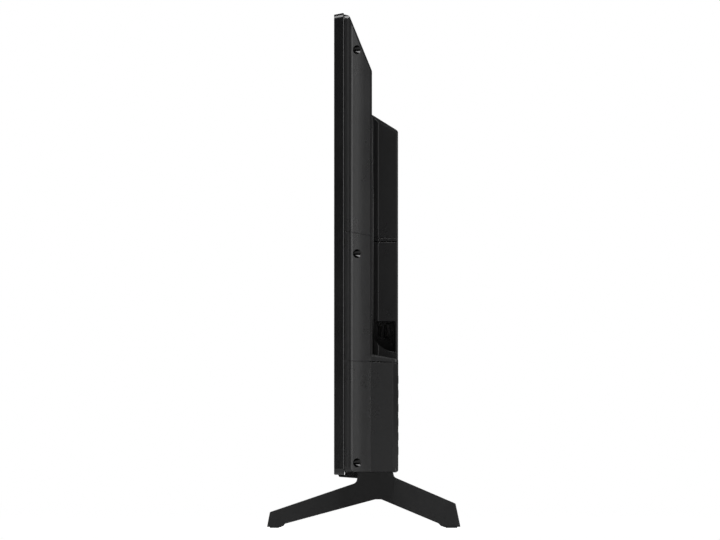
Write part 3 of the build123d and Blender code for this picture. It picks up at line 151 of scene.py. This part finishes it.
# Softboxes in metres and watts: over the near side, behind the set, beside it and in front of it
SOFTBOXES = [
    {"name": "high_softbox", "place": (1.5, 0.0, 2.5), "size": (1.6, 1.8), "power": 90.0},
    {"name": "rear_softbox", "place": (0.7, 2.5, 0.6), "size": (0.9, 1.8), "power": 14.0},
    {"name": "near_softbox", "place": (2.95, 1.4, 0.7), "size": (0.5, 1.2), "power": 2.1},
    {"name": "front_softbox", "place": (0.5, -2.6, 0.9), "size": (1.2, 1.6), "power": 26.0},
]
LIGHT_AIM = (0.0, 0.0, 0.25)

# Surroundings and floor, which the eye sees as white
WHITE = (1.0, 1.0, 1.0, 1.0)
SURROUNDINGS = (0.07, 0.07, 0.071, 1.0)
FLOOR_REACH = 150.0
FLOOR_LOW = (0.46, 0.46, 0.46)
FLOOR_HIGH = (0.5, 0.5, 0.5)
FLOOR_ROUGHNESS = 0.7
FLOOR_GLOW = 0.96

# Nearly all of a noise's values lie between these
NOISE_LOW = 0.3
NOISE_HIGH = 0.7

# Moulded finishes: two tones, two roughnesses, and what differs from the usual ones. Grain is per metre,
# and its depth and the softened edge are in millimetres.
MOULDED = {
    "cover_plastic": dict(low=(0.0085, 0.0085, 0.0087), high=(0.0105, 0.0105, 0.0108),
                          rough=(0.26, 0.32), edge=0.4),
    "bezel_plastic": dict(low=(0.0035, 0.0035, 0.0037), high=(0.0042, 0.0042, 0.0044),
                          rough=(0.19, 0.27), grain=900.0, depth=0.002, edge=0.6, coat=0.1),
    "foot_plastic": dict(low=(0.0075, 0.0075, 0.0077), high=(0.0095, 0.0095, 0.0098),
                         rough=(0.32, 0.42), grain=2200.0, depth=0.012, edge=1.0),
    "inner_plastic": dict(low=(0.02, 0.02, 0.021), high=(0.028, 0.028, 0.029), rough=(0.45, 0.6)),
    "key_plastic": dict(low=(0.014, 0.014, 0.0145), high=(0.018, 0.018, 0.0185), rough=(0.3, 0.4),
                        edge=0.3),
    "smoked_window": dict(low=(0.004, 0.0032, 0.0032), high=(0.006, 0.005, 0.005),
                          rough=(0.08, 0.14), grain=300.0, depth=0.001, edge=0.4, coat=0.4),
    "soft_rubber": dict(low=(0.014, 0.014, 0.014), high=(0.02, 0.02, 0.02), rough=(0.75, 0.9),
                        grain=1400.0, depth=0.05, specular=0.3),
    "cable_sleeve": dict(low=(0.016, 0.016, 0.016), high=(0.024, 0.024, 0.024), rough=(0.45, 0.6),
                         grain=1200.0),
    "cone_paper": dict(low=(0.035, 0.035, 0.034), high=(0.06, 0.06, 0.058), rough=(0.8, 0.95),
                       grain=1600.0, depth=0.08, specular=0.2),
    "reflector": dict(low=(0.86, 0.86, 0.86), high=(0.9, 0.9, 0.9), rough=(0.3, 0.4), depth=0.005),
    "socket_moulding": dict(low=(0.012, 0.012, 0.012), high=(0.016, 0.016, 0.016), rough=(0.4, 0.5),
                            edge=0.1),
    # Screw recess crosses: the near-black colour is painted shade of the cross recesses
    "recess_shadow": dict(low=(0.002, 0.002, 0.002), high=(0.003, 0.003, 0.003), rough=(0.8, 0.9),
                          specular=0.1, edge=0.0),
    # Well walls: the near-black colour is painted shade in the side screw wells; the gloss is the walls'
    # own
    "well_painted_shade": dict(low=(0.0015, 0.0015, 0.0015), high=(0.002, 0.002, 0.002), rough=(0.1, 0.16),
                       grain=500.0, depth=0.001, specular=0.4, edge=0.0),
    # Seam foam: the near-black colour is painted shade in the seam behind the bezel
    "foam_and_seam_shade": dict(low=(0.003, 0.003, 0.003), high=(0.005, 0.005, 0.005), rough=(0.85, 0.95),
                      grain=3000.0, depth=0.05, specular=0.1, edge=0.0),
    "key_print": dict(low=(0.3, 0.3, 0.3), high=(0.34, 0.34, 0.34), rough=(0.5, 0.6), edge=0.0),
}
# Metals: two tones, two roughnesses, and how often the drawn lines repeat along each axis
METALS = {
    "pan_steel": dict(low=(0.46, 0.47, 0.48), high=(0.56, 0.57, 0.58), rough=(0.3, 0.45)),
    "bare_aluminium": dict(low=(0.66, 0.67, 0.68), high=(0.75, 0.76, 0.77), rough=(0.25, 0.4)),
    "socket_metal": dict(low=(0.12, 0.12, 0.122), high=(0.17, 0.17, 0.172), rough=(0.35, 0.5)),
    "magnet_steel": dict(low=(0.1, 0.1, 0.105), high=(0.16, 0.16, 0.165), rough=(0.5, 0.65)),
    "screw_steel": dict(low=(0.05, 0.05, 0.052), high=(0.08, 0.08, 0.083), rough=(0.28, 0.4),
                        brush=(900.0, 900.0, 900.0)),
    "insert_brass": dict(low=(0.6, 0.42, 0.17), high=(0.72, 0.52, 0.24), rough=(0.22, 0.34)),
    "gilt_contact": dict(low=(0.3, 0.2, 0.08), high=(0.36, 0.25, 0.1), rough=(0.3, 0.4)),
}
# Clear plastic and film, with faint mottling down to a share of the tone
CLEAR_DARKEST = 0.92
CLEAR = {
    "optical_film": dict(colour=(0.85, 0.87, 0.9), roughness=0.3),
    "diffuser": dict(colour=(0.92, 0.92, 0.92), roughness=0.6),
    "clear_lens": dict(colour=(0.88, 0.9, 0.93), roughness=0.1),
}


def new_nodes(name):
    """New material with its node tree and its shader."""
    made = bpy.data.materials.new(name)
    made.use_nodes = True
    tree = made.node_tree
    return made, tree, tree.nodes["Principled BSDF"]


def add(tree, kind, **values):
    """Add a shader node, setting its properties and its sockets by name."""
    node = tree.nodes.new(kind)
    for key, value in values.items():
        if key.startswith("prop_"):
            setattr(node, key.removeprefix("prop_"), value)
        else:
            node.inputs[key.replace("_", " ")].default_value = value
    return node


def feed(tree, node, **sources):
    """Link outputs to a node's sockets by name."""
    for key, source in sources.items():
        tree.links.new(source, node.inputs[key.replace("_", " ")])


def object_place(tree, scale=(1.0, 1.0, 1.0)):
    """Object coordinates in metres, scaled along each axis."""
    coordinates = add(tree, "ShaderNodeTexCoord")
    mapping = add(tree, "ShaderNodeMapping", Scale=scale)
    feed(tree, mapping, Vector=coordinates.outputs["Object"])
    return mapping.outputs["Vector"]


def noise(tree, place, scale, detail=4.0, roughness=0.5):
    """Noise that varies over 1/scale metres."""
    node = add(tree, "ShaderNodeTexNoise", Scale=scale, Detail=detail, Roughness=roughness)
    feed(tree, node, Vector=place)
    return node.outputs["Fac"]


def spread(tree, value, low=0.0, high=1.0, from_low=NOISE_LOW, from_high=NOISE_HIGH):
    """Map a value, usually a noise, to a range."""
    node = add(tree, "ShaderNodeMapRange", From_Min=from_low, From_Max=from_high, To_Min=low,
               To_Max=high)
    feed(tree, node, Value=value)
    return node.outputs["Result"]


def blend_colours(tree, factor, low, high):
    """Colour between two colours."""
    node = add(tree, "ShaderNodeMix", prop_data_type="RGBA")
    colour_inputs = [socket for socket in node.inputs if socket.type == "RGBA"]
    colour_inputs[0].default_value = (*low, 1.0)
    colour_inputs[1].default_value = (*high, 1.0)
    feed(tree, node, Factor=factor)
    colour_outputs = [socket for socket in node.outputs if socket.type == "RGBA"]
    return colour_outputs[0]


def surface_normal(tree, height, depth, strength, edge=0.0):
    """Bump of a depth in millimetres, over edges that are softened by a radius in millimetres."""
    bump = add(tree, "ShaderNodeBump", Strength=strength, Distance=depth * MM)
    feed(tree, bump, Height=height)
    if edge:
        soft = add(tree, "ShaderNodeBevel", prop_samples=4, Radius=edge * MM)
        feed(tree, bump, Normal=soft.outputs["Normal"])
    return bump.outputs["Normal"]


def moulded(name, low, high, rough, grain=2600.0, depth=0.02, specular=0.5, edge=0.5, coat=0.0):
    """Moulded plastic: faint mottling, a fine eroded grain and softened edges."""
    made, tree, shader = new_nodes(name)
    place = object_place(tree)
    cloud = noise(tree, place, scale=9.0, detail=5.0)
    patch = noise(tree, place, scale=31.0, detail=6.0, roughness=0.6)
    fine = noise(tree, place, scale=grain, detail=3.0, roughness=0.7)
    feed(tree, shader,
         Base_Color=blend_colours(tree, spread(tree, cloud), low, high),
         Roughness=spread(tree, patch, *rough),
         Normal=surface_normal(tree, fine, depth, strength=0.6, edge=edge))
    shader.inputs["Specular IOR Level"].default_value = specular
    shader.inputs["Coat Weight"].default_value = coat
    shader.inputs["Coat Roughness"].default_value = 0.08
    return made


def metal(name, low, high, rough, brush=(400.0, 12.0, 400.0)):
    """Metal with faint drawn lines."""
    made, tree, shader = new_nodes(name)
    lines = noise(tree, object_place(tree, brush), scale=4.0, roughness=0.6)
    feed(tree, shader,
         Base_Color=blend_colours(tree, spread(tree, lines), low, high),
         Roughness=spread(tree, lines, *rough),
         Normal=surface_normal(tree, lines, depth=0.02, strength=0.4, edge=0.2))
    shader.inputs["Metallic"].default_value = 1.0
    return made


def clear_material(name, colour, roughness):
    """Translucent plastic or film."""
    made, tree, shader = new_nodes(name)
    place = object_place(tree)
    cloud = noise(tree, place, scale=40.0)
    fine = noise(tree, place, scale=900.0)
    darker = tuple(CLEAR_DARKEST * part for part in colour)
    feed(tree, shader,
         Base_Color=blend_colours(tree, spread(tree, cloud), colour, darker),
         Normal=surface_normal(tree, fine, depth=0.01, strength=0.4, edge=0.2))
    shader.inputs["Roughness"].default_value = roughness
    shader.inputs["Transmission Weight"].default_value = 0.5
    return made


def circuit_board_material():
    """Green lacquer over copper tracks."""
    made, tree, shader = new_nodes("circuit_board")
    place = object_place(tree)
    cells = add(tree, "ShaderNodeTexVoronoi", prop_distance="MANHATTAN", prop_feature="F1",
                Scale=180.0)
    feed(tree, cells, Vector=place)
    tracks = spread(tree, cells.outputs["Distance"], from_low=0.42, from_high=0.5)
    cloud = noise(tree, place, scale=60.0)
    feed(tree, shader,
         Base_Color=blend_colours(tree, tracks, (0.012, 0.085, 0.034), (0.03, 0.17, 0.07)),
         Roughness=spread(tree, cloud, 0.28, 0.42),
         Normal=surface_normal(tree, tracks, depth=0.03, strength=0.8))
    return made


def ribbon_material():
    """Flat cable: white film over parallel conductors."""
    made, tree, shader = new_nodes("ribbon_film")
    wave = add(tree, "ShaderNodeTexWave", prop_bands_direction="X", Scale=320.0)
    feed(tree, wave, Vector=object_place(tree))
    lines = wave.outputs["Fac"]
    feed(tree, shader,
         Base_Color=blend_colours(tree, lines, (0.62, 0.6, 0.52), (0.82, 0.81, 0.76)),
         Normal=surface_normal(tree, lines, depth=0.05, strength=0.7))
    shader.inputs["Roughness"].default_value = 0.4
    return made


def screen_material():
    """Dark anti-glare panel: fine etched surface, black border at both sides of the picture."""
    made, tree, shader = new_nodes("screen_glass")
    place = object_place(tree)
    split = add(tree, "ShaderNodeSeparateXYZ")
    feed(tree, split, Vector=place)
    reach = add(tree, "ShaderNodeMath", prop_operation="ABSOLUTE")
    tree.links.new(split.outputs["X"], reach.inputs[0])
    border = add(tree, "ShaderNodeMath", prop_operation="GREATER_THAN")
    tree.links.new(reach.outputs[0], border.inputs[0])
    border.inputs[1].default_value = SCREEN_HALF_WIDTH - SCREEN_BORDER
    etched = noise(tree, place, scale=5200.0, detail=2.0, roughness=0.8)
    cloud = noise(tree, place, scale=5.0)
    feed(tree, shader,
         Base_Color=blend_colours(tree, border.outputs[0], (0.0045, 0.0048, 0.0056),
                                  (0.002, 0.002, 0.002)),
         Roughness=spread(tree, cloud, 0.24, 0.3),
         Normal=surface_normal(tree, etched, depth=0.006, strength=0.5))
    shader.inputs["Specular IOR Level"].default_value = 0.45
    return made


def spot(x, depth, z):
    """Point of the frame from millimetres across, back from the bezel's front and up."""
    return Vector((x * MM, (depth + BEZEL_FRONT) * MM, z * MM))


def oval_point(centre, reach, turn):
    """Point of an oval at a turn in degrees."""
    angle = math.radians(turn)
    return centre[0] + reach[0] * math.cos(angle), centre[1] + reach[1] * math.sin(angle)


def box_outline(x_range, z_range):
    """Outline of a rectangle."""
    (left, right), (low, high) = x_range, z_range
    return [(left, low), (right, low), (right, high), (left, high)]


def cross_outline(reach, half_line):
    """Outline of a plus sign."""
    corner = [(half_line, reach), (half_line, half_line), (reach, half_line)]
    points = []
    for turn, (sign_x, sign_z) in enumerate(((1, 1), (1, -1), (-1, -1), (-1, 1))):
        for across, up in reversed(corner) if turn % 2 else corner:
            points.append((sign_x * across, sign_z * up))
    return points


def ring_outline(radius, line, gap):
    """Outline of a ring that is open at its top, by gap degrees to each side."""
    outer = []
    inner = []
    for step in range(RING_STEPS + 1):
        turn = 90.0 + gap + (360.0 - 2.0 * gap) * step / RING_STEPS
        outer.append(oval_point((0.0, 0.0), (radius + line, radius + line), turn))
        inner.append(oval_point((0.0, 0.0), (radius, radius), turn))
    return outer + inner[::-1]


def add_box(form, x_range, depth_range, z_range, rounding=0.0):
    """Box, with its edges rounded off if asked for."""
    low, high = (spot(*corner) for corner in zip(x_range, depth_range, z_range))
    corners = bmesh.ops.create_cube(form, size=1.0)["verts"]
    for corner in corners:
        for axis in range(3):
            corner.co[axis] = high[axis] if corner.co[axis] > 0 else low[axis]
    if rounding:
        edges = list({edge for corner in corners for edge in corner.link_edges})
        bmesh.ops.bevel(form, geom=edges, offset=rounding * MM, segments=2, affect="EDGES",
                        profile=0.5)


def add_plate(form, outline, middle, rise):
    """Flat shape that stands off towards the back."""
    x, depth, z = middle
    front = [form.verts.new(spot(x + across, depth, z + up)) for across, up in outline]
    back = [form.verts.new(spot(x + across, depth + rise, z + up)) for across, up in outline]
    form.faces.new(front)
    form.faces.new(back[::-1])
    for index in range(len(outline)):
        after = (index + 1) % len(outline)
        form.faces.new([front[index], back[index], back[after], front[after]])


def add_skin(form, rows, closed=False):
    """Smooth faces between rows of points."""
    count = len(rows[0])
    for lower, upper in zip(rows, rows[1:]):
        for index in range(count if closed else count - 1):
            after = (index + 1) % count
            face = form.faces.new([lower[index], lower[after], upper[after], upper[index]])
            face.smooth = True


def link_object(name, data):
    """New object in the scene."""
    made = bpy.data.objects.new(name, data)
    bpy.context.scene.collection.objects.link(made)
    return made


def aim_object(thing, place, aim):
    """Put a camera or a light in its place and point it at its aim."""
    thing.location = place
    thing.rotation_mode = "QUATERNION"
    thing.rotation_quaternion = (Vector(aim) - Vector(place)).to_track_quat("-Z", "Y")


def add_piece(name, form, body, finish):
    """Turn a mesh in the making into a piece that rides on a body."""
    bmesh.ops.recalc_face_normals(form, faces=form.faces)
    mesh = bpy.data.meshes.new(name)
    form.to_mesh(mesh)
    form.free()
    mesh.materials.append(MATERIALS[finish])
    piece = link_object(name, mesh)
    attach(piece, body)


def add_recess_shades():
    """Flat near-black crosses on the heads of the side and rear screws, painted shade in place of their
    cross recesses.
    """
    form = bmesh.new()
    for middle in SIDE_SCREWS + REAR_SCREWS:
        add_plate(form, cross_outline(RECESS_REACH, RECESS_HALF_LINE), middle, RECESS_RISE)
    add_piece("screw_recess_shades", form, ROOT, "recess_shadow")


def add_key_marks():
    """Plain printed marks on the keys: power ring, source, arrows, plus and minus."""
    marks = {
        "power": [
            ring_outline(RING_RADIUS, RING_LINE, POWER_GAP),
            box_outline((-POWER_BAR_HALF_LINE, POWER_BAR_HALF_LINE), POWER_BAR_SPAN),
        ],
        "input": [ring_outline(RING_RADIUS, RING_LINE, SOURCE_GAP)],
        "channel_up": [[(-MARK_REACH, -ARROW_FOOT), (MARK_REACH, -ARROW_FOOT), (0.0, ARROW_TIP)]],
        "channel_down": [[(-MARK_REACH, ARROW_FOOT), (0.0, -ARROW_TIP), (MARK_REACH, ARROW_FOOT)]],
        "volume_up": [cross_outline(MARK_REACH, MARK_HALF_LINE)],
        "volume_down": [
            box_outline((-MARK_REACH, MARK_REACH), (-MARK_HALF_LINE, MARK_HALF_LINE)),
        ],
    }
    for index, (key, outlines) in enumerate(marks.items()):
        form = bmesh.new()
        for outline in outlines:
            middle = (KEY_X, KEY_FACE, KEY_FIRST_Z + index * KEY_PITCH)
            add_plate(form, outline, middle, MARK_RISE)
        add_piece(f"key_mark_{key}", form, f"button_{key}", "key_print")


def add_socket_linings():
    """Black mouldings inside the metal sockets, and their gilt contacts."""
    linings = bmesh.new()
    for *ranges, rounding in SOCKET_MOULDINGS:
        add_box(linings, *ranges, rounding)
    add_piece("socket_linings", linings, ROOT, "socket_moulding")
    contacts = bmesh.new()
    for first, axis, pitch, count in SOCKET_CONTACTS:
        for index in range(count):
            ranges = list(first)
            ranges[axis] = [end + index * pitch for end in first[axis]]
            add_box(contacts, *ranges)
    add_piece("socket_contacts", contacts, ROOT, "gilt_contact")


def add_well_shade_linings():
    """Smooth near-black walls inside the side screw wells, painted shade that darkens the wells, cut off
    along the cover's slope.
    """
    form = bmesh.new()
    for x, _, z in SIDE_SCREWS:
        floor_ring = []
        mouth_ring = []
        for step in range(WELL_STEPS):
            across, up = oval_point((x, z), (WELL_RADIUS, WELL_RADIUS), 360.0 * step / WELL_STEPS)
            slope = SLOPE_FOOT[1] + (SLOPE_FOOT[0] - abs(across)) * SLOPE_RISE
            floor_ring.append(form.verts.new(spot(across, WELL_FLOOR, up)))
            mouth_ring.append(form.verts.new(spot(across, slope - WELL_MARGIN, up)))
        add_skin(form, [floor_ring, mouth_ring], closed=True)
    add_piece("well_shade_linings", form, ROOT, "well_painted_shade")


def add_bulge_corners():
    """Crisp upright corners of the lower bulge, fading into its rounded ones at both ends."""
    full_reach = (BULGE_RADIUS, BULGE_RADIUS)
    sunk_reach = (BULGE_SINK * BULGE_RADIUS, BULGE_SINK * BULGE_RADIUS)
    crisp = [oval_point(BULGE_CENTRE, full_reach, turn) for turn in BULGE_TURNS]
    last_x, last_depth = crisp[-1]
    last_turn = math.radians(BULGE_TURNS[-1])
    crisp.append((last_x - math.tan(last_turn) * (BACK_PLANE - last_depth), BACK_PLANE))
    crisp.append((BULGE_CENTRE[0], BACK_PLANE))
    rounded = [oval_point(BULGE_CENTRE, sunk_reach, turn) for turn in BULGE_TURNS + BULGE_CUT_TURNS]
    form = bmesh.new()
    for side in (-1, 1):
        rows = []
        for z, share in BULGE_ROWS:
            row = []
            for plain, full in zip(rounded, crisp):
                x, depth = (start + (end - start) * share for start, end in zip(plain, full))
                row.append(form.verts.new(spot(side * x, depth, z)))
            rows.append(row)
        add_skin(form, rows)
        for lower, upper in zip(rows, rows[1:]):
            form.edges.get((lower[-2], upper[-2])).smooth = False
    add_piece("bulge_corners", form, ROOT, "cover_plastic")


def add_bump_beads():
    """Fine bead along each foot of the central bump."""
    form = bmesh.new()
    for side in (-1, 1):
        profile = []
        for step in range(BEAD_STEPS + 1):
            turn = BEAD_FIRST_TURN + (BEAD_LAST_TURN - BEAD_FIRST_TURN) * step / BEAD_STEPS
            profile.append(oval_point(BEAD_CENTRE, BEAD_REACH, turn))
        rows = [[form.verts.new(spot(side * x, depth, z)) for x, depth in profile] for z in BEAD_ROWS]
        add_skin(form, rows)
        form.faces.new(rows[0])
        form.faces.new(rows[-1])
    add_piece("bump_beads", form, ROOT, "cover_plastic")


def add_seal_and_seam_shade():
    """Foam seal in the seam behind the bezel, at the top and at both sides, near-black as painted shade
    of the seam.
    """
    form = bmesh.new()
    add_box(form, SEAL_TOP_X, SEAL_DEPTHS, SEAL_TOP_Z, SEAL_ROUNDING)
    for side in (-1, 1):
        add_box(form, sorted(side * x for x in SEAL_SIDE_X), SEAL_DEPTHS, SEAL_SIDE_Z)
    add_piece("seal_and_seam_shade", form, ROOT, "foam_and_seam_shade")


def dress_nodes():
    """Give each node of the frame the material of its slot."""
    for entry in frame["record"]["subparts"]:
        node = frame["nodes"][entry["node"]]
        node.data.materials.clear()
        node.data.materials.append(MATERIALS[entry["material_slot"]])


def add_camera():
    """Long lens on the set's side, aimed at the middle of the photograph."""
    data = bpy.data.cameras.new("camera")
    data.lens = LENS
    data.sensor_width = SENSOR_WIDTH
    data.clip_end = CAMERA_CLIP
    camera = link_object("camera", data)
    place = (NEAR_SIDE_X + CAMERA_REACH, AIM_Y, CAMERA_Z)
    aim_object(camera, place, (NEAR_SIDE_X, AIM_Y, AIM_Z))
    bpy.context.scene.camera = camera


def add_lights():
    """Soft rectangular lights round the set."""
    for softbox in SOFTBOXES:
        data = bpy.data.lights.new(softbox["name"], "AREA")
        data.shape = "RECTANGLE"
        data.size, data.size_y = softbox["size"]
        data.energy = softbox["power"]
        aim_object(link_object(softbox["name"], data), softbox["place"], LIGHT_AIM)


def split_for_eye(tree, target, light_shader, eye_shader):
    """One shader for the light on the object, and another for what the eye sees directly."""
    path = add(tree, "ShaderNodeLightPath")
    mix = add(tree, "ShaderNodeMixShader")
    feed(tree, mix, Fac=path.outputs["Is Camera Ray"])
    tree.links.new(light_shader.outputs[0], mix.inputs[1])
    tree.links.new(eye_shader.outputs[0], mix.inputs[2])
    feed(tree, target, Surface=mix.outputs[0])


def add_world():
    """White backdrop for the eye, dimmer surroundings for the light on the object."""
    world = bpy.data.worlds.new("studio")
    world.use_nodes = True
    bpy.context.scene.world = world
    tree = world.node_tree
    surroundings = tree.nodes["Background"]
    surroundings.inputs["Color"].default_value = SURROUNDINGS
    backdrop = add(tree, "ShaderNodeBackground", Color=WHITE)
    split_for_eye(tree, tree.nodes["World Output"], surroundings, backdrop)


def add_floor():
    """Plain pale floor, as white as the backdrop to the eye and dimmer in reflections."""
    mesh = bpy.data.meshes.new("floor")
    outline = box_outline((-FLOOR_REACH, FLOOR_REACH), (-FLOOR_REACH, FLOOR_REACH))
    mesh.from_pydata([(x, y, 0.0) for x, y in outline], [], [(0, 1, 2, 3)])
    floor = link_object("floor", mesh)
    made, tree, shader = new_nodes("floor_paper")
    cloud = noise(tree, object_place(tree), scale=3.0)
    feed(tree, shader, Base_Color=blend_colours(tree, spread(tree, cloud), FLOOR_LOW, FLOOR_HIGH))
    shader.inputs["Roughness"].default_value = FLOOR_ROUGHNESS
    glow = add(tree, "ShaderNodeEmission", Color=WHITE, Strength=FLOOR_GLOW)
    lit = add(tree, "ShaderNodeAddShader")
    tree.links.new(shader.outputs[0], lit.inputs[0])
    tree.links.new(glow.outputs[0], lit.inputs[1])
    split_for_eye(tree, tree.nodes["Material Output"], shader, lit)
    mesh.materials.append(made)


# One material for each slot of the frame, and one for each finish of the small forms
MATERIALS = {name: moulded(name, **look) for name, look in MOULDED.items()}
MATERIALS.update((name, metal(name, **look)) for name, look in METALS.items())
MATERIALS.update((name, clear_material(name, **look)) for name, look in CLEAR.items())
MATERIALS["screen_glass"] = screen_material()
MATERIALS["circuit_board"] = circuit_board_material()
MATERIALS["ribbon_film"] = ribbon_material()

bpy.context.scene.view_settings.view_transform = "Standard"
add_camera()
add_world()
add_lights()
add_floor()
dress_nodes()
add_recess_shades()
add_key_marks()
add_socket_linings()
add_well_shade_linings()
add_bulge_corners()
add_bump_beads()
add_seal_and_seam_shade()
